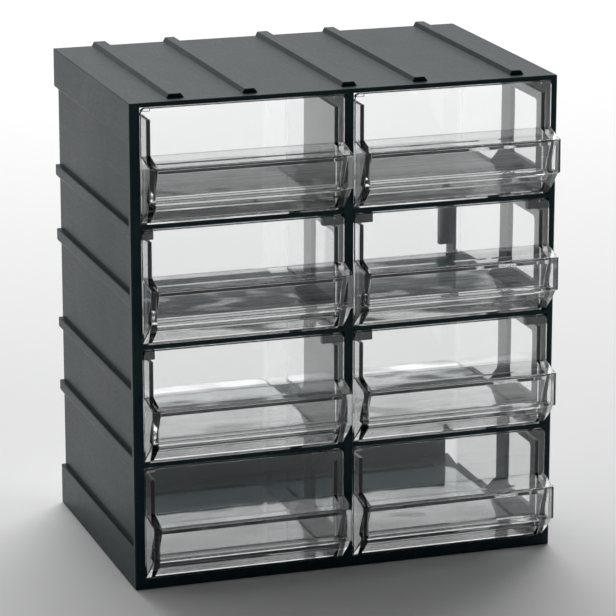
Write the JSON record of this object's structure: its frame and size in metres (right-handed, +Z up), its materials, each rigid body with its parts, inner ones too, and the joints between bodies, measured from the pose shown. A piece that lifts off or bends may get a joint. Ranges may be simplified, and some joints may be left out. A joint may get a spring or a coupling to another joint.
{
  "type": "parts bin cabinet",
  "caption": "Small black plastic parts cabinet with two columns of clear slide-out bins, each with a full-width pull and a slanted label face.",
  "frame": {"origin": "centre of the bounding box in plan, on the base's underside", "axes": "+Z up, bins open towards -Y, +X to the right seen from the front"},
  "size_m": [0.199, 0.1446, 0.224],
  "materials": {
    "frame_black": "moulded black plastic with a fine matt grain",
    "clear_bin": "clear polished moulded plastic"
  },
  "bodies": {
    "frame": {"top_panel": "frame_black", "base_panel": "frame_black", "left_side_panel": "frame_black", "right_side_panel": "frame_black", "centre_partition": "frame_black", "rear_apron": "frame_black", "shelf_left_1": "frame_black", "shelf_left_2": "frame_black", "shelf_left_3": "frame_black", "shelf_right_1": "frame_black", "shelf_right_2": "frame_black", "shelf_right_3": "frame_black"},
    "drawer_left_1": {"drawer_left_1": "clear_bin"},
    "drawer_left_2": {"drawer_left_2": "clear_bin"},
    "drawer_left_3": {"drawer_left_3": "clear_bin"},
    "drawer_left_4": {"drawer_left_4": "clear_bin"},
    "drawer_right_1": {"drawer_right_1": "clear_bin"},
    "drawer_right_2": {"drawer_right_2": "clear_bin"},
    "drawer_right_3": {"drawer_right_3": "clear_bin"},
    "drawer_right_4": {"drawer_right_4": "clear_bin"}
  },
  "joints": [
    {"name": "drawer_left_1_slide", "type": "slide", "parent": "frame", "child": "drawer_left_1", "axis": [0, -1, 0], "range_m": [0, 0.095]},
    {"name": "drawer_left_2_slide", "type": "slide", "parent": "frame", "child": "drawer_left_2", "axis": [0, -1, 0], "range_m": [0, 0.095]},
    {"name": "drawer_left_3_slide", "type": "slide", "parent": "frame", "child": "drawer_left_3", "axis": [0, -1, 0], "range_m": [0, 0.095]},
    {"name": "drawer_left_4_slide", "type": "slide", "parent": "frame", "child": "drawer_left_4", "axis": [0, -1, 0], "range_m": [0, 0.095]},
    {"name": "drawer_right_1_slide", "type": "slide", "parent": "frame", "child": "drawer_right_1", "axis": [0, -1, 0], "range_m": [0, 0.095]},
    {"name": "drawer_right_2_slide", "type": "slide", "parent": "frame", "child": "drawer_right_2", "axis": [0, -1, 0], "range_m": [0, 0.095]},
    {"name": "drawer_right_3_slide", "type": "slide", "parent": "frame", "child": "drawer_right_3", "axis": [0, -1, 0], "range_m": [0, 0.095]},
    {"name": "drawer_right_4_slide", "type": "slide", "parent": "frame", "child": "drawer_right_4", "axis": [0, -1, 0], "range_m": [0, 0.095]}
  ]
}
